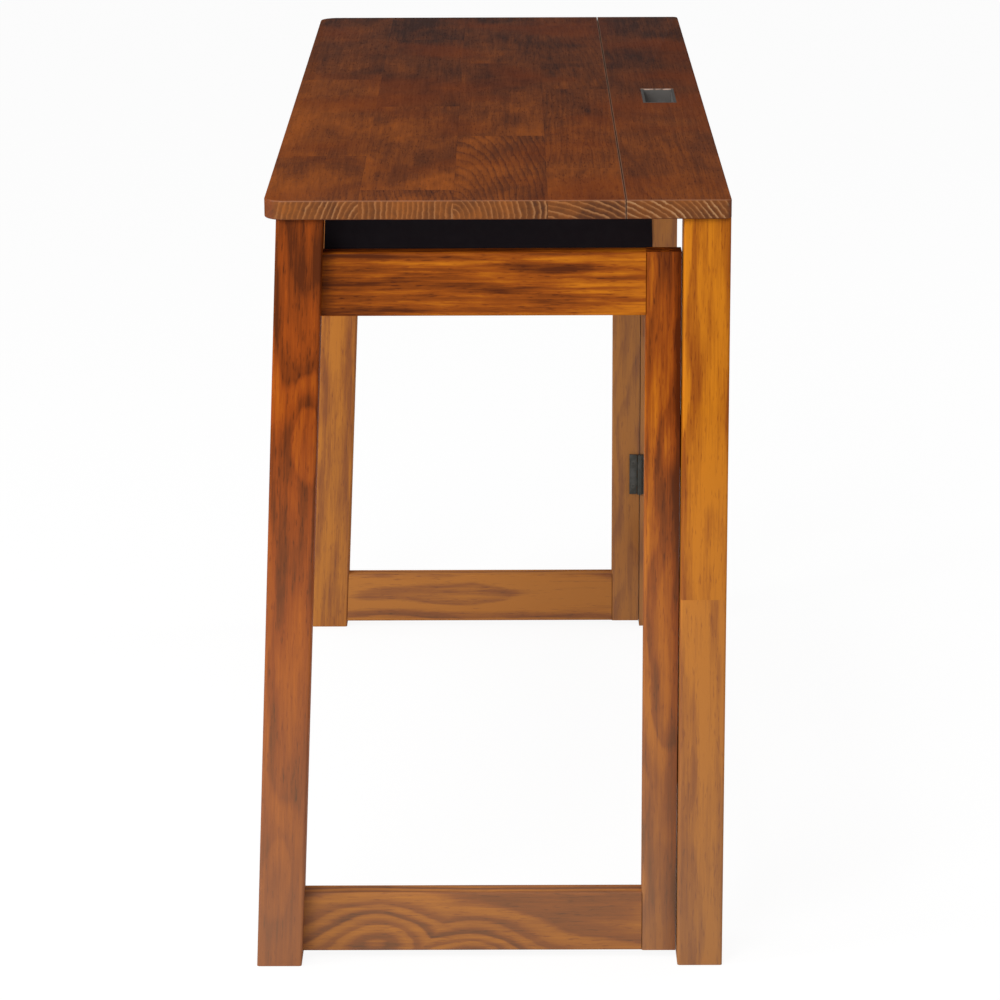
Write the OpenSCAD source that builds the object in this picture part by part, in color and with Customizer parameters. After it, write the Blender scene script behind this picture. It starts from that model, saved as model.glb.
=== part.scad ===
// Folding wall desk: a fixed rear frame, a hinged front leaf and two wing frames.
// X runs along the length, -Y is the front, Z is up. Millimetres.
// Origin: middle of the bounding box on the floor.

/* [Top] */
// length of the table top
top_length = 1150; // [1060:1:1400]
// depth of the table top, front edge to rear edge
top_depth = 427; // [410:1:520]
// height of the top surface above the floor
desk_height = 750; // [690:1:800]
// thickness of the top boards
top_thickness = 18; // [17:0.5:25]
// depth of the fixed strip at the rear
strip_depth = 96; // [94:1:112]
// open seam between the leaf and the strip
seam_gap = 0.8; // [0.7:0.1:3]
// radius of the two front corners
front_radius = 20; // [8:1:40]
// radius of the two rear corners
rear_radius = 6; // [5:1:12]
// radius of the rounded upper and lower arrises of the top
top_round = 1.5; // [1:0.5:4]
// chamfer along the seam
seam_chamfer = 0.6; // [0.3:0.1:1.5]

/* [Posts and rear rails] */
// radius of the eased long edges of posts, legs, rails and uprights
bar_round = 2.5; // [0.5:0.5:4]
// side of the square rear posts
post_size = 43; // [40:1:46]
// overhang of the top past the outer faces of legs and posts
end_overhang = 6; // [2:1:15]
// height of the rear rails
rear_rail_height = 60; // [45:1:75]
// thickness of the rear rails
rear_rail_thick = 22; // [18:1:23]
// distance of the rear rails ahead of the rear faces of the posts
rear_rail_inset = 1; // [0:0.1:2]
// height of the lower rear rail above the floor
rear_rail_lift = 70; // [40:1:85]

/* [Wing frames] */
// side of the front leg
leg_size = 43; // [40:1:46]
// distance of the leg's top behind the front edge of the top
leg_top_inset = 11; // [5:1:25]
// distance of the foot ahead of the front edge of the top
foot_ahead = 21; // [0:1:30]
// gap between the top of the leg and the underside of the leaf
leg_clear = 0.3; // [0.2:0.1:1]
// height of the wing rails
rail_height = 60; // [45:1:75]
// thickness of the wing rails and the upright
rail_thick = 22; // [18:1:26]
// width of the rear upright of a wing
upright_width = 33; // [30:1:45]
// distance from the underside of the top to the upper rail
top_rail_drop = 36; // [30:1:60]
// height of the lower rail above the floor
bottom_rail_lift = 7; // [3:1:25]
// gap between the wing and its post
wing_gap = 1; // [0.8:0.1:2]

/* [Infill panels] */
// thickness of the infill panel
panel_thick = 2.6; // [2:0.1:2.8]
// distance from the top of the panel to the underside of the top
panel_top_gap = 8; // [7.5:0.5:16]
// distance from the rear end of the panel to the post
panel_end_gap = 25; // [18:1:40]
// distance from the front end of the panel to the leg
panel_leg_gap = 0.3; // [0.2:0.1:3]
// how far the rear end of the panel leans forward at its top
panel_lean = 2; // [0:0.5:6]
// how far the panel laps over the rail
panel_lap = 45; // [25:1:48]
// height of the panel's screws above its lower edge
panel_screw_height = 12; // [8:1:14]
// distance of the outer screws from the ends of the panel
panel_screw_inset = 30; // [15:1:60]

/* [Cable port] */
// length of the opening in the strip
port_length = 86; // [60:1:120]
// depth of the opening in the strip
port_depth = 32; // [24:1:33]
// distance from the front of the strip to the opening
port_setback = 35; // [20:1:36]
// wall of the liner
port_wall = 1.2; // [1:0.1:2]
// width of the liner's flange
port_flange = 1.5; // [1.5:0.5:5]
// thickness of the liner's flange, let in flush
port_flange_thick = 1; // [0.8:0.1:1.5]
// gap around the liner in the wood
port_fit = 0.1; // [0.05:0.05:0.3]
// gap under the liner's flange
port_seat = 0.05; // [0.02:0.01:0.2]
// how far the liner reaches below the strip
port_drop = 7; // [0:0.5:12]

/* [Hinges] */
// height of a hinge along its pin
hinge_height = 50; // [45:1:60]
// width of a hinge leaf, measured from the pin
hinge_width = 12.5; // [12:0.5:19]
// thickness of a hinge leaf
hinge_thick = 2; // [1.6:0.1:2.2]
// outer radius of the barrel
barrel_radius = 3; // [2.8:0.1:3.4]
// radius of the pin
pin_radius = 1.5; // [1.2:0.1:1.6]
// radial clearance of the pin in the turning barrels
pin_clear = 0.05; // [0.02:0.01:0.1]
// gap between the barrel and the wood
barrel_stand = 0.1; // [0.05:0.05:0.3]
// distance from the pin to the flat plate of a hinge leaf
plate_start = 3.5; // [3.5:0.1:4]
// distance from the pin at which the webs of the knuckles begin
web_start = 0.8; // [0.5:0.1:1.2]
// how far the ends of a pin lie inside the barrel
pin_short = 0.2; // [0:0.1:1]
// gap between neighbouring barrels
knuckle_gap = 0.2; // [0.1:0.05:0.4]
// middle of the lower wing hinge above the floor
lower_hinge_z = 195; // [170:1:240]
// middle of the upper wing hinge below the underside of the top
upper_hinge_drop = 223; // [190:1:260]
// distance of the outer seam hinges from the ends of the top
seam_hinge_inset = 175; // [140:1:190]

/* [Screws and dowels] */
// radius of a screw's shank
screw_radius = 1.5; // [1.3:0.1:1.7]
// radius of a screw's head
screw_head = 3; // [2.8:0.1:3.2]
// length of a screw's pointed end
screw_tip = 2; // [1:0.5:3]
// radius of a screw's blunt point
screw_point = 0.3; // [0.2:0.1:0.5]
// width of each slot of a screw's cross recess
recess_width = 0.8; // [0.6:0.1:1]
// length of each slot of a screw's cross recess
recess_length = 3.4; // [2.4:0.2:4]
// depth of a screw's cross recess
recess_depth = 0.8; // [0.5:0.1:1]
// length of a screw under its head
screw_length = 13; // [10:0.5:14]
// distance of the screws from the pin
screw_offset = 8; // [7.5:0.25:8.5]
// distance between the two screws of a leaf
screw_pitch = 29; // [26:1:34]
// radius of a dowel
dowel_radius = 4; // [3:0.5:5]
// length of a dowel
dowel_length = 40; // [30:1:44]
// distance between the two dowels of a joint
dowel_pitch = 30; // [24:1:32]
// radial gap around dowels and screws in the wood
bore_clear = 0.1; // [0.05:0.05:0.2]
// radial gap around screws in hinge leaves and panels
plate_clear = 0.05; // [0.02:0.01:0.1]
// free depth past the end of dowels and screws
end_clear = 0.5; // [0.2:0.1:1]
// how far a vertical dowel reaches into the rear strip
strip_dowel_depth = 12; // [8:0.5:13]
// distance of a post's vertical dowel from its inner face
post_dowel_inset = 27; // [20:1:30]
// distance of a post's vertical dowel from its front face
post_dowel_setback = 14; // [12:1:17]
// distance of the inner strip dowels from the middle of the rear rail
strip_dowel_near = 120; // [100:5:160]
// distance of the outer strip dowels from the middle of the rear rail
strip_dowel_far = 350; // [280:5:420]

/* [Output] */
// node to show, or all

/* [Hidden] */
$fn = 48;

half = top_length / 2;
under = desk_height - top_thickness;
// outer and inner faces of legs and posts
x_out = half - end_overhang;
x_in = x_out - post_size;
// depth positions, from the front edge of the top to its rear edge
y_front_edge = -(top_depth - foot_ahead) / 2;
y_rear_edge = y_front_edge + top_depth;
y_post = y_rear_edge - post_size;
y_strip = y_rear_edge - strip_depth;
y_leaf_end = y_strip - seam_gap;
y_wing_end = y_post - wing_gap;
y_upright = y_wing_end - upright_width;
y_rear_rail = y_rear_edge - rear_rail_inset - rear_rail_thick;
y_rail_mid = y_rear_rail + rear_rail_thick / 2;
// pins
axis_off = barrel_radius + barrel_stand;
x_pin = x_in - axis_off;
y_pin = y_post - wing_gap / 2;
y_seam = y_strip - seam_gap / 2;
z_seam = under - axis_off;
z_upper = under - upper_hinge_drop;
x_seam_hinge = half - seam_hinge_inset;
// rails
z_top_rail = under - top_rail_drop - rail_height;
z_bottom_rail = bottom_rail_lift;
z_rear_top = under - rear_rail_height;
// middle of the vertical dowels
z_strip_dowel = under + strip_dowel_depth - dowel_length / 2;
leg_height = under - leg_clear;
lean = (leg_top_inset + foot_ahead) / leg_height;
lean_angle = atan(lean);
x_rail_mid = x_in + rail_thick / 2;
head_depth = screw_head - screw_radius;
knuckle_pitch = hinge_height / 5;
bore_radius = dowel_radius + bore_clear;
bore_length = dowel_length + 2 * end_clear;

// small overlap of solids that are joined
eps = 0.01;
// how far a cut runs past a face
over = 1;

function leg_front(z) = y_front_edge - foot_ahead + lean * z;
function leg_back(z) = leg_front(z) + leg_size;

pine_top = [0.44, 0.27, 0.18];
pine = [0.70, 0.44, 0.20];
black = [0.09, 0.09, 0.095];
charcoal = [0.22, 0.22, 0.21];
steel = [0.55, 0.54, 0.52];
beech = [0.78, 0.62, 0.42];

// Rectangle with rounded corners, its near corner at the origin
module eased_section(a, b, r = bar_round) {
  translate([r, 0]) square([a - 2 * r, b]);
  translate([0, r]) square([a, b - 2 * r]);
  for (u = [r, a - r])
    for (v = [r, b - r])
      translate([u, v]) circle(r = r);
}

// Bars with eased long edges, from their lowest corner: along Z, Y and X
module upright_bar(p, a, b, l) {
  translate(p) linear_extrude(height = l) eased_section(a, b);
}
module depth_bar(p, a, b, l) {
  translate([p[0], p[1] + l, p[2]]) rotate([90, 0, 0]) linear_extrude(height = l) eased_section(a, b);
}
module length_bar(p, a, b, l) {
  translate(p) rotate([90, 0, 90]) linear_extrude(height = l) eased_section(a, b);
}

// A board in the Y-Z plane, given thickness along X
module side_board(points, x, thick) {
  translate([x + thick, 0, 0])
    rotate([0, -90, 0])
      linear_extrude(height = thick)
        polygon([for (p = points) [p[1], p[0]]]);
}

// A dowel-shaped bar along Y, X or Z around a middle point
module bar_y(p, r, l) {
  translate([p[0], p[1] + l / 2, p[2]]) rotate([90, 0, 0]) cylinder(r = r, h = l);
}
module bar_x(p, r, l) {
  translate([p[0] - l / 2, p[1], p[2]]) rotate([0, 90, 0]) cylinder(r = r, h = l);
}
module bar_z(p, r, l) {
  translate([p[0], p[1], p[2] - l / 2]) cylinder(r = r, h = l);
}

// Joint positions of the dowels in a right wing, where rails meet leg and upright
module wing_dowel_set(r, l) {
  for (z0 = [z_top_rail, z_bottom_rail])
    for (s = [-1, 1]) {
      z = z0 + (rail_height + s * dowel_pitch) / 2;
      bar_y([x_rail_mid, leg_back(z), z], r, l);
      bar_y([x_rail_mid, y_upright, z], r, l);
    }
}

// Dowels of the rear frame: rails into posts, rail and posts up into the strip
module frame_dowel_set(r, l) {
  for (side = [-1, 1]) {
    for (z0 = [z_rear_top, rear_rail_lift])
      for (s = [-1, 1])
        bar_x([side * x_in, y_rail_mid, z0 + (rear_rail_height + s * dowel_pitch) / 2], r, l);
    bar_z([side * (x_in + post_dowel_inset), y_post + post_dowel_setback, z_strip_dowel], r, l);
    for (x = [strip_dowel_near, strip_dowel_far]) bar_z([side * x, y_rail_mid, z_strip_dowel], r, l);
  }
}

// Screw in its own frame: the head's face at x = 0, the shank towards +X
module screw_body() {
  shank = screw_length - head_depth - screw_tip;
  difference() {
    rotate([0, 90, 0]) {
      cylinder(r1 = screw_head, r2 = screw_radius, h = head_depth);
      translate([0, 0, head_depth - eps]) cylinder(r = screw_radius, h = shank + 2 * eps);
      translate([0, 0, screw_length - screw_tip])
        cylinder(r1 = screw_radius, r2 = screw_point, h = screw_tip);
    }
    for (turn = [0, 90])
      rotate([turn, 0, 0])
        translate([-over, -recess_length / 2, -recess_width / 2])
          cube([over + recess_depth, recess_length, recess_width]);
  }
}
// Countersunk hole for a screw, through plate or panel into the wood
module screw_hole() {
  head = screw_head + plate_clear;
  rotate([0, 90, 0]) {
    translate([0, 0, -over]) cylinder(r = head, h = over + eps);
    cylinder(r1 = head, r2 = screw_radius + plate_clear, h = head_depth);
    translate([0, 0, head_depth - eps])
      cylinder(r = screw_radius + bore_clear, h = screw_length - head_depth + end_clear);
  }
}

// Hinge in its own frame: pin along Z, the wood lies beyond x = axis_off.
// side = 1 is the leaf towards +Y with three knuckles, side = -1 the other with two.
module hinge_screw_spots(side) {
  for (s = [-1, 1])
    translate([axis_off - hinge_thick, side * screw_offset, s * screw_pitch / 2]) children();
}
module knuckle(side, k) {
  z0 = -hinge_height / 2 + k * knuckle_pitch + (k == 0 ? 0 : knuckle_gap / 2);
  z1 = -hinge_height / 2 + (k + 1) * knuckle_pitch - (k == 4 ? 0 : knuckle_gap / 2);
  web = plate_start - web_start + eps;
  translate([0, 0, z0]) {
    cylinder(r = barrel_radius, h = z1 - z0);
    translate([axis_off - hinge_thick, side > 0 ? web_start : -web_start - web, 0])
      cube([hinge_thick, web, z1 - z0]);
  }
}
module hinge_leaf(side) {
  plate = hinge_width - plate_start;
  difference() {
    union() {
      translate([axis_off - hinge_thick, side > 0 ? plate_start : -hinge_width, -hinge_height / 2])
        cube([hinge_thick, plate, hinge_height]);
      for (k = side > 0 ? [0, 2, 4] : [1, 3]) knuckle(side, k);
    }
    translate([0, 0, -hinge_height]) cylinder(r = pin_radius + pin_clear, h = 2 * hinge_height);
    hinge_screw_spots(side) screw_hole();
  }
}
module hinge_pin() {
  l = hinge_height - 2 * pin_short;
  translate([0, 0, -l / 2]) cylinder(r = pin_radius, h = l);
}

// Places for hinges
module at_wing_hinge(z) {
  translate([x_pin, y_pin, z]) children();
}
module at_seam_hinge(x) {
  translate([x, y_seam, z_seam]) rotate([0, -90, 0]) children();
}
module left() {
  mirror([1, 0, 0]) children();
}

// Top
// Section across the leaf or the strip: the seam side at 0, chamfered, the rounded side at depth
module board_section(depth) {
  c = seam_chamfer;
  intersection() {
    translate([-depth, 0]) eased_section(2 * depth, top_thickness, top_round);
    polygon([[0, 0], [depth, 0], [depth, top_thickness], [c, top_thickness], [0, top_thickness - c]]);
  }
}
// Board of the top, from the seam at y = inner to its outer edge; facing is -1 to the front, 1 to the rear
module top_board(inner, outer, facing, corner) {
  depth = abs(outer - inner);
  translate([0, inner, under]) mirror([0, facing < 0 ? 1 : 0, 0]) {
    difference() {
      intersection() {
        translate([-half, 0, 0]) rotate([90, 0, 90]) linear_extrude(height = top_length) board_section(depth);
        translate([-half, depth, 0]) rotate([90, 0, 0])
          linear_extrude(height = depth) eased_section(top_length, top_thickness, top_round);
      }
      for (s = [-1, 1])
        translate([s * half - corner, depth - corner, -over])
          cube([2 * corner, 2 * corner, top_thickness + 2 * over]);
    }
    for (s = [0, 1]) mirror([s, 0, 0])
      translate([half - corner, depth - corner, 0]) rotate_extrude(angle = 90)
        intersection() {
          translate([-corner, 0]) eased_section(2 * corner, top_thickness, top_round);
          square([corner, top_thickness]);
        }
  }
}

module leaf() {
  color(pine_top) difference() {
    top_board(y_leaf_end, y_front_edge, -1, front_radius);
    for (x = [-x_seam_hinge, 0, x_seam_hinge])
      at_seam_hinge(x) hinge_screw_spots(-1) screw_hole();
  }
}

module port_block(grow, z0, z1) {
  translate([-port_length / 2 - grow, y_strip + port_setback - grow, z0])
    cube([port_length + 2 * grow, port_depth + 2 * grow, z1 - z0]);
}
module rear_strip() {
  color(pine_top) difference() {
    top_board(y_strip, y_rear_edge, 1, rear_radius);
    port_block(0, under - over, desk_height + over);
    port_block(port_flange + port_fit, desk_height - port_flange_thick - port_seat, desk_height + over);
    for (x = [-x_seam_hinge, 0, x_seam_hinge])
      at_seam_hinge(x) hinge_screw_spots(1) screw_hole();
    frame_dowel_set(bore_radius, bore_length);
  }
}
module port_liner() {
  color(charcoal) difference() {
    union() {
      port_block(-port_fit, under - port_drop, desk_height);
      port_block(port_flange, desk_height - port_flange_thick, desk_height);
    }
    port_block(-port_fit - port_wall, under - port_drop - over, desk_height + over);
  }
}

// Rear frame
module post() {
  difference() {
    upright_bar([x_in, y_post, 0], post_size, post_size, under);
    for (z = [lower_hinge_z, z_upper])
      at_wing_hinge(z) hinge_screw_spots(1) screw_hole();
    frame_dowel_set(bore_radius, bore_length);
  }
}
module rear_rail(z0) {
  difference() {
    length_bar([-x_in, y_rear_rail, z0], rear_rail_thick, rear_rail_height, 2 * x_in);
    frame_dowel_set(bore_radius, bore_length);
  }
}
module right_post() { color(pine) post(); }
module left_post() { color(pine) left() post(); }
module rear_top_rail() { color(pine) rear_rail(z_rear_top); }
module rear_bottom_rail() { color(pine) rear_rail(rear_rail_lift); }

// Wing frame, right side
module wing_leg() {
  difference() {
    intersection() {
      translate([x_out - leg_size, leg_front(0), 0]) rotate([-lean_angle, 0, 0])
        translate([0, 0, -leg_size])
          upright_bar([0, 0, 0], leg_size, leg_size * cos(lean_angle), leg_height + 3 * leg_size);
      translate([0, y_front_edge - leg_height, 0]) cube([half, top_depth + leg_height, leg_height]);
    }
    wing_dowel_set(bore_radius, bore_length);
  }
}
module wing_upright() {
  z0 = z_bottom_rail;
  h = z_top_rail + rail_height - z0;
  difference() {
    upright_bar([x_in, y_upright, z0], rail_thick, upright_width, h);
    for (z = [lower_hinge_z, z_upper])
      at_wing_hinge(z) hinge_screw_spots(-1) screw_hole();
    wing_dowel_set(bore_radius, bore_length);
  }
}
module wing_rail(z0) {
  y0 = leg_back(z0) - rail_height;
  difference() {
    intersection() {
      depth_bar([x_in, y0, z0], rail_thick, rail_height, y_upright - y0);
      side_board([[leg_back(0), 0], [y_rear_edge, 0], [y_rear_edge, under], [leg_back(under), under]],
                 x_in - over, rail_thick + 2 * over);
    }
    wing_dowel_set(bore_radius, bore_length);
    panel_screw_spots() screw_hole();
  }
}
// Outline of the panel: lower and upper height, front and rear end on its lower edge
panel_z = [z_top_rail + rail_height - panel_lap, under - panel_top_gap];
panel_y = [leg_back(panel_z[0]) + panel_leg_gap, y_wing_end - panel_end_gap];
module panel_screw_spots() {
  for (y = [panel_y[0] + panel_screw_inset, (panel_y[0] + panel_y[1]) / 2, panel_y[1] - panel_screw_inset])
    translate([x_in - panel_thick, y, panel_z[0] + panel_screw_height]) children();
}
module wing_panel() {
  rise = lean * (panel_z[1] - panel_z[0]);
  difference() {
    side_board([[panel_y[0], panel_z[0]], [panel_y[1], panel_z[0]],
                [panel_y[1] - panel_lean, panel_z[1]], [panel_y[0] + rise, panel_z[1]]],
               x_in - panel_thick, panel_thick);
    panel_screw_spots() screw_hole();
  }
}
module right_leg() { color(pine) wing_leg(); }
module right_upright() { color(pine) wing_upright(); }
module right_top_rail() { color(pine) wing_rail(z_top_rail); }
module right_bottom_rail() { color(pine) wing_rail(z_bottom_rail); }
module right_panel() { color(black) wing_panel(); }
module left_leg() { color(pine) left() wing_leg(); }
module left_upright() { color(pine) left() wing_upright(); }
module left_top_rail() { color(pine) left() wing_rail(z_top_rail); }
module left_bottom_rail() { color(pine) left() wing_rail(z_bottom_rail); }
module left_panel() { color(black) left() wing_panel(); }

// Hinges
module right_upper_post_hinge() { color(charcoal) at_wing_hinge(z_upper) hinge_leaf(1); }
module right_upper_wing_hinge() { color(charcoal) at_wing_hinge(z_upper) hinge_leaf(-1); }
module right_upper_pin() { color(steel) at_wing_hinge(z_upper) hinge_pin(); }
module right_lower_post_hinge() { color(charcoal) at_wing_hinge(lower_hinge_z) hinge_leaf(1); }
module right_lower_wing_hinge() { color(charcoal) at_wing_hinge(lower_hinge_z) hinge_leaf(-1); }
module right_lower_pin() { color(steel) at_wing_hinge(lower_hinge_z) hinge_pin(); }
module left_upper_post_hinge() { color(charcoal) left() at_wing_hinge(z_upper) hinge_leaf(1); }
module left_upper_wing_hinge() { color(charcoal) left() at_wing_hinge(z_upper) hinge_leaf(-1); }
module left_upper_pin() { color(steel) left() at_wing_hinge(z_upper) hinge_pin(); }
module left_lower_post_hinge() { color(charcoal) left() at_wing_hinge(lower_hinge_z) hinge_leaf(1); }
module left_lower_wing_hinge() { color(charcoal) left() at_wing_hinge(lower_hinge_z) hinge_leaf(-1); }
module left_lower_pin() { color(steel) left() at_wing_hinge(lower_hinge_z) hinge_pin(); }
module right_seam_strip_hinge() { color(charcoal) at_seam_hinge(x_seam_hinge) hinge_leaf(1); }
module right_seam_leaf_hinge() { color(charcoal) at_seam_hinge(x_seam_hinge) hinge_leaf(-1); }
module right_seam_pin() { color(steel) at_seam_hinge(x_seam_hinge) hinge_pin(); }
module middle_seam_strip_hinge() { color(charcoal) at_seam_hinge(0) hinge_leaf(1); }
module middle_seam_leaf_hinge() { color(charcoal) at_seam_hinge(0) hinge_leaf(-1); }
module middle_seam_pin() { color(steel) at_seam_hinge(0) hinge_pin(); }
module left_seam_strip_hinge() { color(charcoal) at_seam_hinge(-x_seam_hinge) hinge_leaf(1); }
module left_seam_leaf_hinge() { color(charcoal) at_seam_hinge(-x_seam_hinge) hinge_leaf(-1); }
module left_seam_pin() { color(steel) at_seam_hinge(-x_seam_hinge) hinge_pin(); }

// Fasteners
module wing_screws() {
  for (z = [lower_hinge_z, z_upper])
    at_wing_hinge(z) hinge_screw_spots(-1) screw_body();
  panel_screw_spots() screw_body();
}
module frame_screws() {
  color(charcoal) {
    for (z = [lower_hinge_z, z_upper]) {
      at_wing_hinge(z) hinge_screw_spots(1) screw_body();
      left() at_wing_hinge(z) hinge_screw_spots(1) screw_body();
    }
    for (x = [-x_seam_hinge, 0, x_seam_hinge])
      at_seam_hinge(x) hinge_screw_spots(1) screw_body();
  }
}
module leaf_screws() {
  color(charcoal)
    for (x = [-x_seam_hinge, 0, x_seam_hinge])
      at_seam_hinge(x) hinge_screw_spots(-1) screw_body();
}
module right_wing_screws() { color(charcoal) wing_screws(); }
module left_wing_screws() { color(charcoal) left() wing_screws(); }
module frame_dowels() { color(beech) frame_dowel_set(dowel_radius, dowel_length); }
module right_wing_dowels() { color(beech) wing_dowel_set(dowel_radius, dowel_length); }
module left_wing_dowels() { color(beech) left() wing_dowel_set(dowel_radius, dowel_length); }

leaf();
rear_strip();
port_liner();
right_post();
left_post();
rear_top_rail();
rear_bottom_rail();
right_leg();
right_upright();
right_top_rail();
right_bottom_rail();
right_panel();
left_leg();
left_upright();
left_top_rail();
left_bottom_rail();
left_panel();
right_upper_post_hinge();
right_upper_wing_hinge();
right_upper_pin();
right_lower_post_hinge();
right_lower_wing_hinge();
right_lower_pin();
left_upper_post_hinge();
left_upper_wing_hinge();
left_upper_pin();
left_lower_post_hinge();
left_lower_wing_hinge();
left_lower_pin();
right_seam_strip_hinge();
right_seam_leaf_hinge();
right_seam_pin();
middle_seam_strip_hinge();
middle_seam_leaf_hinge();
middle_seam_pin();
left_seam_strip_hinge();
left_seam_leaf_hinge();
left_seam_pin();
frame_screws();
leaf_screws();
right_wing_screws();
left_wing_screws();
frame_dowels();
right_wing_dowels();
left_wing_dowels();
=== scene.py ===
"""Folding wall desk: wooden frame and top, hinges and cable opening, in a pale studio."""
import functools
import math

import bmesh
import bpy
from mathutils import Matrix, Vector


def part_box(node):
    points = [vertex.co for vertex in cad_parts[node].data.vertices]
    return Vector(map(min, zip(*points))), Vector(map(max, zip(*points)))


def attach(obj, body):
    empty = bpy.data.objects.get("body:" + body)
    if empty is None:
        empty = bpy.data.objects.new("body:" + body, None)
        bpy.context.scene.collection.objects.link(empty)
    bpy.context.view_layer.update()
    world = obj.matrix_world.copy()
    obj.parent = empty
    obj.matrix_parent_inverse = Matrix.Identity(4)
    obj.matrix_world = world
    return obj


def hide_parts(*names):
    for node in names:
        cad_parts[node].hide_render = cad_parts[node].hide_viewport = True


bl_info = {
    "name": "Folding wall desk",
    "version": (1, 0, 0),
    "blender": (4, 5, 0),
    "location": "View3D > Sidebar > Desk",
    "description": "Builds a narrow folding desk with hinged leaf and swinging wing frames",
    "category": "Add Mesh",
}

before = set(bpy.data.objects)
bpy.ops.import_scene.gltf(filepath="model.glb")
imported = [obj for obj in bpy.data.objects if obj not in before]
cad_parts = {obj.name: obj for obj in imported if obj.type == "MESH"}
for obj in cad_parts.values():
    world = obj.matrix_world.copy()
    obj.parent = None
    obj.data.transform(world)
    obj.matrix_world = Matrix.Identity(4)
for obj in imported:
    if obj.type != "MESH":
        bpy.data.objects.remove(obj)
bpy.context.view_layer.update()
MM = 0.001
# two places that are closer than this are the same
HAIR = 0.01 * MM
SIDES = {"right": 1, "left": -1}

# Fixed colours in linear light: cut and stained wood, painted highlights on wood and flange, painted shade of
# the flange, small parts and the studio
END_GRAIN_LIGHT = (0.290, 0.088, 0.016, 1.0)
END_GRAIN_DARK = (0.080, 0.026, 0.009, 1.0)
PALE_ARC = (0.43, 0.24, 0.11, 1.0)
RED_STAIN = (0.150, 0.030, 0.007, 1.0)
ARRIS_HIGHLIGHT = (0.42, 0.19, 0.09, 1.0)
SEAM_SHEEN = (0.25, 0.17, 0.12, 1.0)
SHADED_FLANGE = (0.052, 0.048, 0.044, 1.0)
FLANGE_GLINT = (0.62, 0.42, 0.32, 1.0)
PAINT_HAZE = (0.10, 0.10, 0.10, 1.0)
PIN_STEEL = (0.35, 0.34, 0.33)
SLEEVE_GREY = (0.120, 0.112, 0.105)
BEECH = (0.55, 0.33, 0.15)
WHITE = (1.0, 1.0, 1.0, 1.0)
FLOOR_GREY = (0.80, 0.80, 0.80, 1.0)

ORIGIN = (0.0, 0.0, 0.0)
# a knot this far away, in metres, isn't seen
NO_KNOT = (9.0, 9.0, 9.0)
# how the grain is moved where a bar goes on in another stave
OTHER_STAVE = (0.017, 0.023, 0.40)


class DeskSizes(bpy.types.PropertyGroup):
    """Small sizes of the made pieces, which the frame doesn't give"""

    bar_round: bpy.props.FloatProperty(
        name="Bar arris", description="Radius of the eased long edges of posts, legs and rails",
        default=2.5 * MM, min=0.0, subtype="DISTANCE", unit="LENGTH")
    gap_round: bpy.props.FloatProperty(
        name="Gap arris", description="Radius of the crisp edges along the gap of wing and post",
        default=0.5 * MM, min=0.0, subtype="DISTANCE", unit="LENGTH")
    top_round: bpy.props.FloatProperty(
        name="Top arris", description="Radius of the rounded arrises of the table top",
        default=1.5 * MM, min=0.0, subtype="DISTANCE", unit="LENGTH")
    front_corner: bpy.props.FloatProperty(
        name="Front corner", description="Radius of the two front corners of the top",
        default=20.0 * MM, min=0.0, subtype="DISTANCE", unit="LENGTH")
    rear_corner: bpy.props.FloatProperty(
        name="Rear corner", description="Radius of the two rear corners of the top",
        default=6.0 * MM, min=0.0, subtype="DISTANCE", unit="LENGTH")
    seam_chamfer: bpy.props.FloatProperty(
        name="Seam chamfer", description="Chamfer along the open seam",
        default=0.6 * MM, min=0.0, subtype="DISTANCE", unit="LENGTH")
    board_width: bpy.props.FloatProperty(
        name="Board width", description="Width of the glued boards of the top",
        default=86.5 * MM, min=0.01, subtype="DISTANCE", unit="LENGTH")


class DeskFinish(bpy.types.PropertyGroup):
    """Colours of the finishes"""

    top_light: bpy.props.FloatVectorProperty(
        name="Top, light", description="Light tone of the stained top", subtype="COLOR",
        size=3, default=(0.255, 0.068, 0.014), min=0.0, max=1.0)
    top_middle: bpy.props.FloatVectorProperty(
        name="Top, middle", description="Middle tone of the stained top", subtype="COLOR",
        size=3, default=(0.120, 0.0345, 0.0125), min=0.0, max=1.0)
    top_dark: bpy.props.FloatVectorProperty(
        name="Top, dark", description="Dark tone of the stained top", subtype="COLOR",
        size=3, default=(0.036, 0.0145, 0.0105), min=0.0, max=1.0)
    frame_light: bpy.props.FloatVectorProperty(
        name="Frame, light", description="Light tone of the frame's pine", subtype="COLOR",
        size=3, default=(0.60, 0.195, 0.010), min=0.0, max=1.0)
    frame_red: bpy.props.FloatVectorProperty(
        name="Frame, red", description="Light tone of the redder bars", subtype="COLOR",
        size=3, default=(0.50, 0.120, 0.008), min=0.0, max=1.0)
    frame_middle: bpy.props.FloatVectorProperty(
        name="Frame, middle", description="Middle tone of the frame's pine", subtype="COLOR",
        size=3, default=(0.31, 0.076, 0.007), min=0.0, max=1.0)
    frame_dark: bpy.props.FloatVectorProperty(
        name="Frame, dark", description="Dark tone of the frame's pine", subtype="COLOR",
        size=3, default=(0.100, 0.022, 0.005), min=0.0, max=1.0)
    # painted reflection: the pale tone that the bars mix in stands for the pale floor mirrored in their
    # lacquer
    frame_sheen: bpy.props.FloatVectorProperty(
        name="Frame, dull", description="Tone of thin, worn lacquer near the floor", subtype="COLOR",
        size=3, default=(0.285, 0.180, 0.112), min=0.0, max=1.0)
    charcoal: bpy.props.FloatVectorProperty(
        name="Charcoal", description="Painted hinges and screws", subtype="COLOR",
        size=3, default=(0.061, 0.059, 0.051), min=0.0, max=1.0)
    # painted shade: the black of the infill panels stands for the deep shade under the table top
    shade_black: bpy.props.FloatVectorProperty(
        name="Black", description="Infill panels", subtype="COLOR",
        size=3, default=(0.0105, 0.0070, 0.0100), min=0.0, max=1.0)


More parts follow.
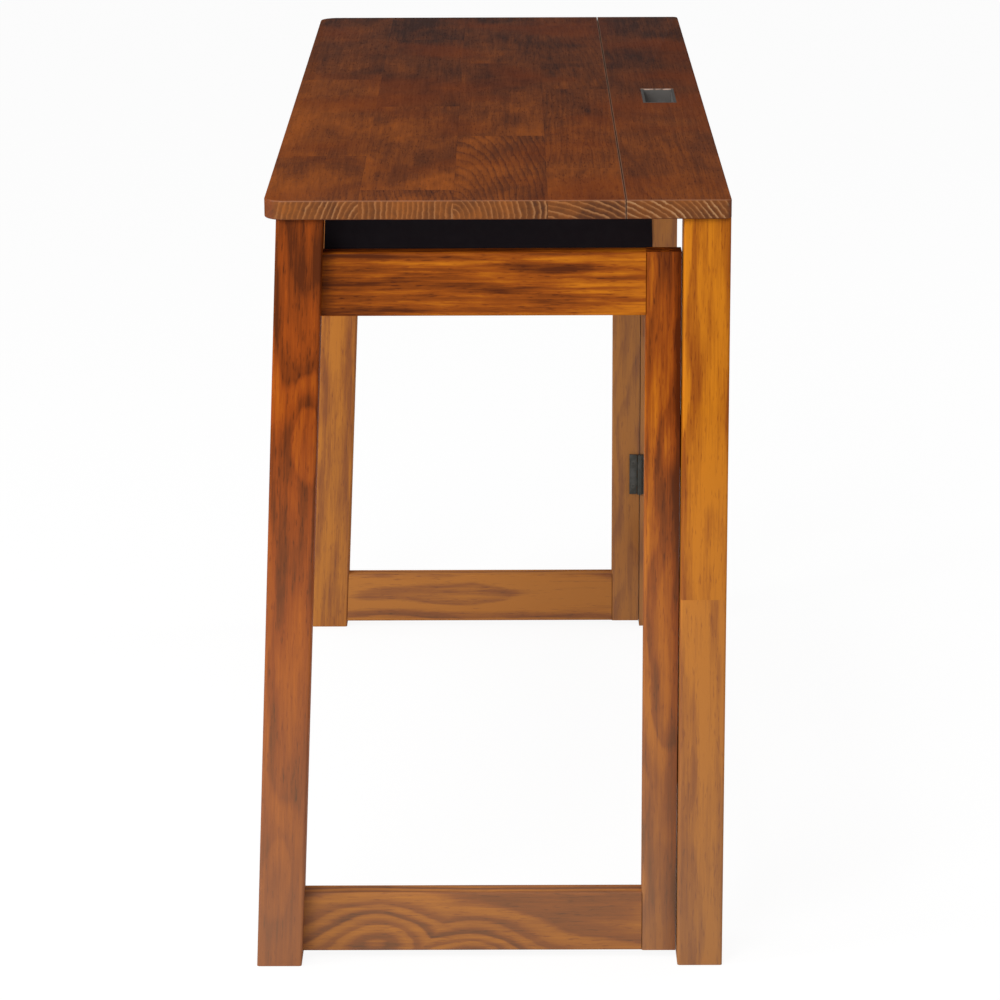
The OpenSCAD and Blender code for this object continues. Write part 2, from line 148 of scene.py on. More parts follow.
class DeskStage(bpy.types.PropertyGroup):
    """Camera and light"""

    lens: bpy.props.FloatProperty(
        name="Lens", description="Focal length on a 36 mm frame, in millimetres", default=137.244, min=10.0)
    eye: bpy.props.FloatVectorProperty(
        name="Eye", description="Place of the camera", subtype="TRANSLATION", unit="LENGTH",
        size=3, default=(3.9892, 0.01995, 1.4125))
    pitch: bpy.props.FloatProperty(
        name="Pitch", description="How far the camera looks down", subtype="ANGLE",
        default=math.radians(15.477))
    yaw: bpy.props.FloatProperty(
        name="Yaw", description="Turn of the camera from the length axis", subtype="ANGLE",
        default=math.radians(0.1366))
    roll: bpy.props.FloatProperty(
        name="Roll", description="Tilt of the camera about its line of sight", subtype="ANGLE",
        default=math.radians(-0.2074))
    key_power: bpy.props.FloatProperty(
        name="Key light", description="Power of the large lamp, in watts", default=48.0, min=0.0)
    sky: bpy.props.FloatProperty(
        name="Sky", description="Strength of the surrounding light", default=0.48, min=0.0)


def sizes():
    return bpy.context.scene.desk_sizes


def finish_colours():
    return bpy.context.scene.desk_finish


# Modelling helpers

def clear_selection():
    if bpy.context.mode != "OBJECT":
        bpy.ops.object.mode_set(mode="OBJECT")
    bpy.ops.object.select_all(action="DESELECT")


def select_only(piece):
    """Select one piece and nothing else, and make it the active one."""
    clear_selection()
    piece.select_set(True)
    bpy.context.view_layer.objects.active = piece


def settle(piece, name):
    """Name a piece and put its place into its mesh."""
    piece.name = name
    piece.data.name = name
    select_only(piece)
    bpy.ops.object.transform_apply(location=True, rotation=True, scale=True)
    return piece


def add_block(name, low, high):
    """A cube primitive stretched over a box."""
    clear_selection()
    low, high = Vector(low), Vector(high)
    bpy.ops.mesh.primitive_cube_add(size=1.0, location=(low + high) / 2, scale=high - low)
    return settle(bpy.context.object, name)


def open_edit(piece):
    """Go into edit mode for edges, with nothing selected."""
    select_only(piece)
    bpy.ops.object.mode_set(mode="EDIT")
    bpy.ops.mesh.select_mode(type="EDGE")
    bpy.ops.mesh.select_all(action="DESELECT")
    return bmesh.from_edit_mesh(piece.data)


def close_edit():
    bpy.ops.object.mode_set(mode="OBJECT")


def bevel_edges(piece, test, radius, segments):
    """Round the edges whose two ends pass the test; one segment makes a chamfer."""
    mesh = open_edit(piece)
    for edge in mesh.edges:
        edge.select = test(edge.verts[0].co, edge.verts[1].co)
    mesh.select_flush_mode()
    bmesh.update_edit_mesh(piece.data)
    bpy.ops.mesh.bevel(offset=radius, offset_type="OFFSET", segments=segments, profile=0.5, affect="EDGES")
    close_edit()


def along(axis):
    """A test for edges that run along one axis."""
    def test(a, b):
        d = b - a
        return all(abs(d[i]) < HAIR for i in range(3) if i != axis)
    return test


def finish_piece(piece, body, nodes, material):
    """Give a piece its finish, its body and the nodes that it stands for."""
    piece.data.materials.clear()
    piece.data.materials.append(material)
    select_only(piece)
    bpy.ops.object.shade_smooth_by_angle(angle=math.radians(35), keep_sharp_edges=False)
    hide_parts(*nodes)
    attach(piece, body)


def dress(node, material):
    """Give a CAD node a better finish."""
    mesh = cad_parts[node].data
    mesh.materials.clear()
    mesh.materials.append(material)


# Shader helpers

def socket_kind(value):
    """The kind of socket that holds a number, a vector or a colour with alpha."""
    if isinstance(value, float):
        return "NodeSocketFloat"
    return "NodeSocketVector" if len(value) == 3 else "NodeSocketColor"


def new_group(name, inputs, outputs):
    """A shader node group; a socket's default tells its kind. Returns the tree and its two end nodes."""
    tree = bpy.data.node_groups.new(name, "ShaderNodeTree")
    for direction, sockets in (("INPUT", inputs), ("OUTPUT", outputs)):
        for label, value in sockets.items():
            socket = tree.interface.new_socket(name=label, in_out=direction, socket_type=socket_kind(value))
            socket.default_value = value
    return tree, tree.nodes.new("NodeGroupInput"), tree.nodes.new("NodeGroupOutput")


class Wiring:
    """Short calls for adding and linking nodes in one tree."""

    def __init__(self, tree):
        self.tree = tree

    def link(self, source, target):
        """Feed a socket from an output, or with a plain value."""
        if hasattr(source, "is_output"):
            self.tree.links.new(source, target)
        else:
            target.default_value = source

    def node(self, kind, *values, **settings):
        """Add a node with its settings, and feed its first inputs in their order."""
        node = self.tree.nodes.new("ShaderNode" + kind)
        for name, setting in settings.items():
            setattr(node, name, setting)
        for socket, value in zip(node.inputs, values):
            self.link(value, socket)
        return node

    def feed(self, node, **values):
        """Feed a node's inputs by their names, written with _ for a space."""
        for label, value in values.items():
            self.link(value, node.inputs[label.replace("_", " ")])
        return node

    def math(self, operation, a, b=0.0, c=0.0, clamp=False):
        return self.node("Math", a, b, c, operation=operation, use_clamp=clamp).outputs[0]

    def add(self, a, b):
        return self.math("ADD", a, b)

    def subtract(self, a, b):
        return self.math("SUBTRACT", a, b)

    def multiply(self, a, b):
        return self.math("MULTIPLY", a, b)

    def multiply_add(self, a, b, c):
        return self.math("MULTIPLY_ADD", a, b, c)

    def swing(self, value, amount):
        """Turn a value from 0 to 1 into one from minus to plus half the amount."""
        return self.multiply(self.subtract(value, 0.5), amount)

    def span(self, value, low, high, to_low=0.0, to_high=1.0):
        """Map a value from low and high to two other numbers, and hold it there beyond them."""
        return self.node("MapRange", value, low, high, to_low, to_high, clamp=True).outputs[0]

    def split(self, vector):
        return self.node("SeparateXYZ", vector).outputs

    def join(self, x, y, z):
        return self.node("CombineXYZ", x, y, z).outputs[0]

    def vector(self, operation, a, b):
        return self.node("VectorMath", a, b, operation=operation).outputs[0]

    def noise(self, place, scale, detail=2.0, rough=0.5, distortion=0.0):
        return self.feed(self.node("TexNoise"), Vector=place, Scale=scale, Detail=detail, Roughness=rough,
                         Distortion=distortion).outputs[0]

    def grain_noise(self, place, across, along, shift, detail, rough=0.5, distortion=0.0):
        """Noise with its own scale across and along the grain, moved by the shift."""
        x, y, z = self.split(place)
        stretched = self.join(self.multiply_add(x, across, shift), self.multiply_add(y, across, shift),
                              self.multiply_add(z, along, shift))
        return self.noise(stretched, 1.0, detail, rough, distortion)

    def random(self, x, y, z):
        """A value and a colour that differ from cell to cell."""
        outputs = self.node("TexWhiteNoise", self.join(x, y, z), noise_dimensions="3D").outputs
        return outputs["Value"], outputs["Color"]

    def blend(self, kind, factor, a, b, how="MIX"):
        """Mix two numbers, vectors or colours. A Mix node has a pair of inputs for each kind."""
        node = self.node("Mix", factor, data_type=kind, blend_type=how)
        pair = ("FLOAT", "VECTOR", "RGBA").index(kind)
        self.link(a, node.inputs[2 + 2 * pair])
        self.link(b, node.inputs[3 + 2 * pair])
        return node.outputs[pair]

    def mix(self, factor, a, b, how="MIX"):
        return self.blend("RGBA", factor, a, b, how)

    def mix_shader(self, factor, a, b):
        return self.node("MixShader", factor, a, b).outputs[0]

    def ramp(self, value, stops):
        """Grey levels at places from 0 to 1."""
        node = self.node("ValToRGB", value)
        band = node.color_ramp
        while len(band.elements) > 1:
            band.elements.remove(band.elements[-1])
        for number, (place, grey) in enumerate(stops):
            stop = band.elements[0] if number == 0 else band.elements.new(place)
            stop.position = place
            stop.color = (grey, grey, grey, 1.0)
        return node.outputs[0]

    def group(self, tree, **values):
        return self.feed(self.node("Group", node_tree=tree), **values).outputs

    def bump(self, height, strength, distance):
        return self.feed(self.node("Bump"), Height=height, Strength=strength, Distance=distance).outputs[0]


def opaque(colour):
    return (*colour, 1.0)


# Node groups, each built once

@functools.cache
def wood_figure():
    """Growth rings, fibres, streaks and stain blotches of softwood. Z runs along the grain, in metres."""
    tree, start, end = new_group(
        "wood_figure",
        {"Place": ORIGIN, "Pith": (0.03, 0.02, 0.0), "Slope": (0.05, 0.02, 0.0), "Ring width": 0.011,
         "Bloom": 0.8, "Wander": 0.012, "Seed": 0.0, "Knot": NO_KNOT, "Other knot": NO_KNOT,
         "Knot size": 0.012, "Knot squeeze": 0.55},
        {"Ring": 0.0, "Fibre": 0.0, "Streak": 0.0, "Blotch": 0.0})
    w = Wiring(tree)
    given = start.outputs
    place, seed, knot_size = given["Place"], given["Seed"], given["Knot size"]
    x, y, z = w.split(place)
    pith_x, pith_y, _ = w.split(given["Pith"])
    slope_x, slope_y, _ = w.split(given["Slope"])
    shift = w.multiply(seed, 3.17)
    # distance from the trunk's middle, which leans and bends along the grain
    away_x = w.subtract(w.subtract(x, pith_x), w.multiply(z, slope_x))
    away_y = w.subtract(w.subtract(y, pith_y), w.multiply(z, slope_y))
    radius = w.math("SQRT", w.add(w.multiply(away_x, away_x), w.multiply(away_y, away_y)))
    slow = w.grain_noise(place, across=6.0, along=2.4, shift=shift, detail=1.0)
    quick = w.grain_noise(place, across=26.0, along=9.0, shift=shift, detail=1.0)
    bend = w.add(w.subtract(slow, 0.5), w.swing(quick, 0.32))
    radius = w.add(radius, w.multiply(bend, given["Wander"]))
    ragged = w.grain_noise(place, across=170.0, along=13.0, shift=shift, detail=3.0, rough=0.65)
    radius = w.add(radius, w.swing(ragged, 3.4 * MM))
    # knots push the rings aside, and less so further away
    wobble, fade, push = 12.0 * MM, -0.22, 2.2
    squares = []
    for knot in ("Knot", "Other knot"):
        dx, dy, dz = w.split(w.vector("SUBTRACT", place, given[knot]))
        dy = w.multiply_add(w.subtract(quick, 0.5), wobble, dy)
        dz = w.multiply(dz, given["Knot squeeze"])
        squares.append(w.add(w.add(w.multiply(dx, dx), w.multiply(dy, dy)), w.multiply(dz, dz)))
    near = w.math("DIVIDE", w.math("MINIMUM", *squares), w.multiply(knot_size, knot_size))
    pushed = w.math("EXPONENT", w.multiply(near, fade))
    radius = w.add(radius, w.multiply(pushed, w.multiply(knot_size, push)))
    # the late wood of a year is a sharp line in quiet wood and a broad band in bold wood
    turns = w.math("DIVIDE", radius, given["Ring width"])
    phase = w.math("FRACT", turns)
    line = w.ramp(phase, [(0.0, 0.08), (0.35, 0.0), (0.62, 0.2), (0.86, 1.0), (0.95, 0.7), (1.0, 0.08)])
    band = w.ramp(phase, [(0.0, 0.10), (0.22, 0.0), (0.48, 0.45), (0.62, 0.92), (0.84, 1.0), (0.93, 0.35),
                          (1.0, 0.10)])
    late = w.blend("FLOAT", given["Bloom"], line, band)
    strength, _ = w.random(w.math("FLOOR", turns), seed, 0.0)
    late = w.multiply(late, w.span(strength, 0.0, 1.0, 0.45, 1.0))
    fibre = w.grain_noise(place, across=520.0, along=15.0, shift=shift, detail=4.0, rough=0.72)
    # short dark pores
    pore = w.grain_noise(place, across=620.0, along=85.0, shift=shift, detail=1.0)
    fibre = w.add(fibre, w.span(pore, 0.60, 0.74, 0.0, 0.44))
    streak = w.grain_noise(place, across=130.0, along=7.5, shift=shift, detail=4.0, rough=0.62)
    blotch = w.grain_noise(place, across=19.0, along=8.0, shift=shift, detail=5.0, rough=0.62, distortion=0.3)
    w.feed(end, Ring=late, Fibre=fibre, Streak=streak, Blotch=blotch)
    return tree


@functools.cache
def stained_wood():
    """Colour, roughness and height of stained, lacquered wood."""
    tree, start, end = new_group(
        "stained_wood",
        {"Ring": 0.0, "Fibre": 0.5, "Streak": 0.5, "Blotch": 0.5, "End": 0.0,
         "Light": (0.5, 0.2, 0.05, 1.0), "Middle": (0.3, 0.12, 0.03, 1.0), "Dark": (0.2, 0.07, 0.02, 1.0),
         "Contrast": 0.7, "Streaks": 0.5, "Cloud": 0.5, "Tone": 0.3, "Gloss": 0.4, "End lines": 0.5},
        {"Color": WHITE, "Roughness": 0.0, "Height": 0.0})
    w = Wiring(tree)
    given = start.outputs
    ring, fibre, blotch = given["Ring"], given["Fibre"], given["Blotch"]
    clouds = w.swing(w.span(blotch, 0.30, 0.70), given["Cloud"])
    streaks = w.swing(w.span(given["Streak"], 0.32, 0.68), given["Streaks"])
    dark = w.multiply(ring, given["Contrast"])
    dark = w.add(dark, w.swing(fibre, 0.60))
    dark = w.add(dark, clouds)
    dark = w.add(dark, streaks)
    dark = w.math("ADD", dark, given["Tone"], clamp=True)
    lighter_half = w.mix(w.span(dark, 0.0, 0.5), given["Light"], given["Middle"])
    colour = w.mix(w.span(dark, 0.5, 1.0), lighter_half, given["Dark"])
    # open end grain drinks more stain, and its late wood stays pale in thin arcs
    lines = w.multiply(w.span(ring, 0.30, 0.80), w.span(blotch, 0.40, 0.56, 0.0, 1.0))
    thirst = w.multiply_add(w.add(clouds, streaks), 1.3, w.multiply_add(ring, -0.8, 0.62))
    soaked = w.mix(w.span(thirst, 0.0, 1.0), END_GRAIN_LIGHT, END_GRAIN_DARK)
    arcs = w.mix(w.multiply(lines, given["End lines"]), soaked, PALE_ARC)
    w.feed(end, Color=w.mix(given["End"], colour, arcs),
           Roughness=w.add(given["Gloss"], w.swing(fibre, 0.16)),
           Height=w.add(w.multiply(ring, 0.35), w.multiply(fibre, 0.5)))
    return tree


@functools.cache
def glued_boards():
    """A top glued from narrow boards of staves: each stave shifts and tints the grain."""
    tree, start, end = new_group(
        "glued_boards",
        {"Place": ORIGIN, "Board width": 0.082, "Stave length": 0.42, "First edge": 0.0, "Offset": 0.0,
         "Marked board": -1.0, "Marked stave": 0.0, "Marked pith": (0.0, 0.7, 0.0), "Marked slope": ORIGIN},
        {"Place": ORIGIN, "Tone": 0.0, "Joint": 0.0, "Pith": ORIGIN, "Slope": ORIGIN, "Seed": 0.0,
         "Figure": 0.0})
    w = Wiring(tree)
    given = start.outputs
    width, length = given["Board width"], given["Stave length"]
    x, y, z = w.split(given["Place"])
    across = w.math("DIVIDE", w.subtract(y, given["First edge"]), width)
    board = w.math("FLOOR", across)
    # the butt joints of neighbouring boards are staggered by the golden section
    stagger = w.math("FRACT", w.multiply_add(board, 0.618, given["Offset"]))
    lengthwise = w.add(w.math("DIVIDE", x, length), stagger)
    stave = w.math("FLOOR", lengthwise)
    tone, colour = w.random(board, stave, 7.0)
    figure, _ = w.random(board, stave, 12.0)
    r, g, b = w.split(colour)
    from_middle = w.subtract(w.math("FRACT", across), 0.5)
    # one stave has its own cut, and its grain is placed from its middle
    marked = w.multiply(w.math("COMPARE", board, given["Marked board"], 0.1),
                        w.math("COMPARE", stave, given["Marked stave"], 0.1))
    own_length = w.swing(w.math("FRACT", lengthwise), length)
    pith = w.join(w.swing(g, 0.10), w.multiply_add(w.subtract(b, 0.5), 0.05, 0.69), 0.0)
    slope = w.join(w.swing(r, 0.22), w.swing(b, 0.10), 0.0)
    w.feed(end, Tone=tone,
           Place=w.join(w.multiply(from_middle, width), z,
                        w.blend("FLOAT", marked, w.multiply_add(g, 2.0, x), own_length)),
           Joint=w.span(w.math("ABSOLUTE", from_middle), 0.492, 0.499),
           Pith=w.blend("VECTOR", marked, pith, given["Marked pith"]),
           Slope=w.blend("VECTOR", marked, slope, given["Marked slope"]),
           Seed=w.multiply_add(r, 9.0, w.multiply(stave, 1.3)),
           Figure=w.math("MAXIMUM", marked, w.span(figure, 0.55, 1.0, 0.0, 0.6)))
    return tree


@functools.cache
def fine_paint():
    """Slight unevenness of painted or brushed metal and board."""
    tree, start, end = new_group(
        "fine_paint",
        {"Place": ORIGIN, "Color": (0.05, 0.05, 0.05, 1.0), "Grain": 900.0, "Rub": 0.3, "Gloss": 0.45},
        {"Color": WHITE, "Roughness": 0.0, "Height": 0.0})
    w = Wiring(tree)
    given = start.outputs
    speck = w.noise(given["Place"], given["Grain"], detail=3.0, rough=0.6)
    haze = w.noise(given["Place"], 60.0, detail=3.0, rough=0.55)
    lighter = w.mix(1.0, given["Color"], PAINT_HAZE, "ADD")
    rub_and_highlight = w.multiply(w.span(haze, 0.5, 0.75), given["Rub"])
    w.feed(end, Color=w.mix(rub_and_highlight, given["Color"], lighter),
           Roughness=w.add(given["Gloss"], w.swing(haze, 0.3)), Height=speck)
    return tree


# Materials

def new_material(name):
    """A material with an empty Principled shader and Object coordinates."""
    material = bpy.data.materials.new(name)
    material.use_nodes = True
    material.node_tree.nodes.clear()
    w = Wiring(material.node_tree)
    shader = w.node("BsdfPrincipled")
    w.node("OutputMaterial", shader.outputs[0])
    return material, w, shader, w.node("TexCoord").outputs["Object"]


def lacquer(w, shader, weight):
    """A thin smooth coat that gleams where it is seen head-on, without a veil at low angles."""
    facing = w.node("LayerWeight").outputs["Facing"]
    w.feed(shader, Coat_Weight=w.span(facing, 0.35, 0.75, weight, 0.0), Coat_Roughness=0.28,
           Specular_IOR_Level=0.001)


def along_grain(w, place, axis, centre, lean=0.0):
    """Turn Object coordinates so that Z runs along the grain, about the middle of the piece."""
    quarter = math.radians(90)
    turn = {"X": (0.0, -quarter, 0.0), "Y": (quarter, 0.0, 0.0), "Z": (lean, 0.0, 0.0)}[axis]
    mapping = w.node("Mapping", w.vector("SUBTRACT", place, tuple(centre)), vector_type="POINT")
    return w.feed(mapping, Rotation=turn).outputs[0]


def pine_material(name, axis, centre, pith=(0.03, 0.02), slope=(0.04, 0.02), ring=0.011, seed=0.0,
                  knot=NO_KNOT, other_knot=NO_KNOT, knot_size=0.012, squeeze=0.55, wander=0.02, bloom=0.85,
                  contrast=0.6, streaks=0.45, cloud=0.35, tone=(0.42, 0.42), painted_rear_shade=0.0,
                  painted_shade_drift=(0.0, 0.0), sheen_by_height=(0.0, 0.0), joint=-1.0, red=0.0, coat=0.10, lean=0.0):
    """Lacquered pine of the frame, cut from its own place in the trunk.

    Tone and sheen by height are pairs, near the floor and further up; the change of tone with height is
    painted light and shade. The painted shade drift is a pair, at the front and the rear.
    """
    material, w, shader, place = new_material(name)
    colours = finish_colours()
    _, depth, height = w.split(place)
    # below its joint the bar goes on in another stave
    below = w.math("LESS_THAN", height, joint)
    turned = w.vector("ADD", along_grain(w, place, axis, centre, lean),
                      w.join(*(w.multiply(below, step) for step in OTHER_STAVE)))
    figure = w.group(wood_figure(), Place=turned, Pith=(*pith, 0.0), Slope=(*slope, 0.0), Ring_width=ring,
                     Bloom=bloom, Wander=wander, Seed=seed, Knot=knot, Other_knot=other_knot,
                     Knot_size=knot_size, Knot_squeeze=squeeze)
    # painted shade and light: the tone goes from its value near the floor to its value further up, darker
    # high up where a bar lies in the shade of the table top, lighter where it is lit; below its joint the
    # other stave is a little lighter
    tint = w.multiply_add(below, -0.07, w.span(height, 0.30, 0.70, *tone))
    # painted shade: the rear edge, next to the post, is darkened for the shade between upright and post
    behind = w.subtract(depth, centre.y)
    tint = w.add(tint, w.span(behind, 0.004, 0.0165, 0.0, painted_rear_shade))
    # painted shade: the tone may drift from the front end of a rail to its rear end, darker at the front end
    # in the shadow of the leg
    tint = w.add(tint, w.span(behind, -0.14, 0.14, *painted_shade_drift))
    light = Vector(colours.frame_light).lerp(Vector(colours.frame_red), red)
    middle_tone = Vector(colours.frame_middle) * Vector((1.0, 1.0 - 0.2 * red, 1.0))
    stain = w.group(stained_wood(), Ring=figure["Ring"], Fibre=figure["Fibre"], Streak=figure["Streak"],
                    Blotch=figure["Blotch"], Light=opaque(light), Middle=opaque(middle_tone),
                    Dark=opaque(colours.frame_dark), Contrast=contrast, Streaks=streaks, Cloud=cloud,
                    Tone=tint, Gloss=0.42)
    # painted reflection: towards the floor the lacquer is mixed with a pale tone, for the pale floor that it
    # mirrors; below its joint the other stave is a little duller too
    painted_sheen = w.multiply_add(below, 0.08, w.span(height, 0.04, 0.55, *sheen_by_height))
    w.feed(shader, Base_Color=w.mix(painted_sheen, stain["Color"], opaque(colours.frame_sheen)),
           Roughness=stain["Roughness"], Normal=w.bump(stain["Height"], 0.25, 0.3 * MM))
    lacquer(w, shader, coat)
    return material


def top_material(name, layout, ring, bloom, tone, plain, bold, cloud, end_lines):
    """Dark stained top, glued from boards. Plain and bold are the contrasts of its quietest and boldest."""
    material, w, shader, place = new_material(name)
    colours = finish_colours()
    length, depth, _ = w.split(place)
    boards = w.group(glued_boards(), Place=place, **layout)
    figure = w.group(wood_figure(), Place=boards["Place"], Pith=boards["Pith"], Slope=boards["Slope"],
                     Ring_width=ring, Bloom=bloom, Wander=0.022, Seed=boards["Seed"])
    shade = w.add(w.span(boards["Tone"], 0.0, 1.0, -0.07, 0.07), tone)
    shade = w.add(shade, w.multiply(boards["Joint"], 0.08))
    # painted shade: the top darkens towards the far end, where the light falls off, and it is a little
    # lighter towards the front edge
    shade = w.add(shade, w.span(length, -0.575, 0.45, 0.38, -0.12))
    shade = w.add(shade, w.span(depth, -0.19, -0.06, -0.09, 0.0))
    along_x, _, upward = w.split(w.node("TexCoord").outputs["Normal"])
    along_x = w.math("ABSOLUTE", along_x)
    end_face = w.span(along_x, 0.75, 0.97)
    contrast = w.blend("FLOAT", end_face, w.span(boards["Figure"], 0.0, 1.0, plain, bold), 1.0)
    stain = w.group(stained_wood(), Ring=figure["Ring"], Fibre=figure["Fibre"], Streak=figure["Streak"],
                    Blotch=figure["Blotch"], End=end_face, Light=opaque(colours.top_light),
                    Middle=opaque(colours.top_middle), Dark=opaque(colours.top_dark), Contrast=contrast,
                    Streaks=0.20, Cloud=cloud, Tone=shade, Gloss=0.50, End_lines=end_lines)
    # some places took the stain redder
    red = w.multiply(w.span(w.noise(place, 6.5), 0.48, 0.66), w.subtract(0.45, end_face))
    colour = w.mix(red, stain["Color"], RED_STAIN)
    # painted highlight: the upper arris of each end is painted paler, for the light that it catches
    rub_and_highlight = w.span(w.multiply(along_x, upward), 0.22, 0.5, 0.0, 0.32)
    colour = w.mix(rub_and_highlight, colour, ARRIS_HIGHLIGHT)
    # painted highlight: both arrises of the seam and the shaded walls of its gap are painted pale, for the
    # sheen on the arrises
    seam = (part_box("leaf")[1][1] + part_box("rear_strip")[0][1]) / 2
    from_seam = w.math("ABSOLUTE", w.subtract(depth, seam))
    colour = w.mix(w.span(from_seam, 0.8 * MM, 1.4 * MM, 0.35, 0.0), colour, SEAM_SHEEN)
    w.feed(shader, Base_Color=colour, Roughness=stain["Roughness"],
           Normal=w.bump(stain["Height"], 0.2, 0.3 * MM))
    lacquer(w, shader, 0.30)
    return material


def flange_tint(w, place, tint):
    """The flange of the cable opening is painted darker than the sleeve's walls, as painted shade against the
    stronger light on its top, and its far edge has painted glints in places.
    """
    low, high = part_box("port_liner")
    x, _, z = w.split(place)
    # painted shade: the top of the flange is darker than the sleeve
    above = w.math("GREATER_THAN", z, high[2] - 0.9 * MM)
    # painted highlight: pale glints along the far edge of the flange
    painted_sheen = w.multiply(above, w.math("LESS_THAN", x, low[0] + 2.8 * MM))
    painted_sheen = w.multiply(painted_sheen, w.span(w.noise(place, 160.0, detail=1.0), 0.42, 0.62, 0.20, 0.90))
    return w.mix(painted_sheen, w.mix(above, tint, SHADED_FLANGE), FLANGE_GLINT)


def paint_material(name, colour, metallic, gloss, grain, rub, shine=0.15, flange=False):
    """Painted or brushed surface, or bare wood of a dowel."""
    material, w, shader, place = new_material(name)
    paint = w.group(fine_paint(), Place=place, Color=opaque(colour), Grain=grain, Rub=rub, Gloss=gloss)
    tint = flange_tint(w, place, paint["Color"]) if flange else paint["Color"]
    w.feed(shader, Base_Color=tint, Roughness=paint["Roughness"], Metallic=metallic, Specular_IOR_Level=shine,
           Normal=w.bump(paint["Height"], 0.3, 0.05 * MM))
    return material


@functools.cache
def small_finish(name):
    """The finishes of the small parts and panels, each built once."""
    charcoal = finish_colours().charcoal
    recipes = {
        "hinge_paint": dict(colour=charcoal, metallic=0.6, gloss=0.42, grain=1400.0, rub=0.5),
        "screw_paint": dict(colour=[c * 1.3 for c in charcoal], metallic=0.7, gloss=0.36, grain=1400.0,
                            rub=0.6),
        "pin_steel": dict(colour=PIN_STEEL, metallic=1.0, gloss=0.32, grain=1800.0, rub=0.2),
        "liner_metal": dict(colour=SLEEVE_GREY, metallic=0.0, gloss=0.55, grain=1200.0, rub=0.35, shine=0.01,
                            flange=True),
        "black_board": dict(colour=finish_colours().shade_black, metallic=0.0, gloss=0.75, grain=500.0, rub=0.05),
        "beech": dict(colour=BEECH, metallic=0.0, gloss=0.6, grain=700.0, rub=0.3),
    }
    return paint_material(name, **recipes[name])


# Pieces

def middle(node):
    low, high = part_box(node)
    return (Vector(low) + Vector(high)) / 2


def add_bar(name, low, high, axis, crisp=None):
    """A square or flat bar with eased long edges. Crisp is a test for the edges that stay crisp."""
    bar = add_block(name, low, high)
    lengthwise = along(axis)
    if crisp:
        bevel_edges(bar, lambda a, b: lengthwise(a, b) and crisp(a), sizes().gap_round, 2)
    bevel_edges(bar, lambda a, b: lengthwise(a, b) and not (crisp and crisp(a)), sizes().bar_round, 4)
    return bar


def add_top_board(name, node, seam, corner, segments):
    """A board of the top: outer corners round, arrises eased, and a chamfer along the seam."""
    low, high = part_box(node)
    board = add_block(name, low, high)

    def at_seam(a, b):
        return abs(a.y - seam) < HAIR and abs(b.y - seam) < HAIR

    bevel_edges(board, lambda a, b: along(2)(a, b) and not at_seam(a, b), corner, segments)
    bevel_edges(board, lambda a, b: abs(a.z - b.z) < HAIR and not at_seam(a, b), sizes().top_round, 5)
    bevel_edges(board, lambda a, b: at_seam(a, b) and min(a.z, b.z) > high[2] - HAIR, sizes().seam_chamfer, 1)
    return board


class DESK_OT_leaf(bpy.types.Operator):
    """Front leaf of the top, with round front corners"""

    bl_idname = "desk.leaf"
    bl_label = "Leaf"

    def execute(self, context):
        low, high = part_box("leaf")
        leaf = add_top_board("table_leaf", "leaf", high[1], sizes().front_corner, 14)
        layout = dict(First_edge=low[1], Board_width=sizes().board_width, Stave_length=0.46, Offset=0.2423,
                      Marked_board=2.0, Marked_stave=1.0, Marked_pith=(-0.045, 0.7224, 0.0),
                      Marked_slope=(0.0, 0.12, 0.0))
        material = top_material("leaf_pine", layout, ring=0.0052, bloom=0.30, tone=0.42, plain=0.03,
                                bold=0.38, cloud=0.62, end_lines=0.40)
        finish_piece(leaf, "leaf", ["leaf"], material)
        return {"FINISHED"}


class DESK_OT_strip(bpy.types.Operator):
    """Fixed rear strip of the top, with its cable opening"""

    bl_idname = "desk.strip"
    bl_label = "Rear strip"

    def execute(self, context):
        low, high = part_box("rear_strip")
        strip = add_top_board("rear_strip_board", "rear_strip", low[1], sizes().rear_corner, 8)
        self.cut_opening(strip, low[2], high[2])
        # the whole strip is one marked stave
        layout = dict(First_edge=low[1] - 0.25, Board_width=0.5, Stave_length=1.6, Offset=0.55,
                      Marked_board=0.0, Marked_stave=0.0, Marked_pith=(-0.040, 0.655, 0.0),
                      Marked_slope=(0.02, 0.0, 0.0))
        material = top_material("strip_pine", layout, ring=0.0050, bloom=0.45, tone=0.55, plain=0.05,
                                bold=0.13, cloud=0.45, end_lines=0.85)
        finish_piece(strip, "frame", ["rear_strip"], material)
        return {"FINISHED"}

    def cut_opening(self, strip, bottom, top):
        """Cut through the strip where the liner of the cable opening sits."""
        low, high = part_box("port_liner")
        beyond = 10.0 * MM
        cutter = add_block("port_cutter", (low[0], low[1], bottom - beyond), (high[0], high[1], top + beyond))
        select_only(strip)
        cut = strip.modifiers.new("port", "BOOLEAN")
        cut.operation = "DIFFERENCE"
        cut.object = cutter
        cut.solver = "EXACT"
        bpy.ops.object.modifier_apply(modifier=cut.name)
        bpy.data.objects.remove(cutter, do_unlink=True)


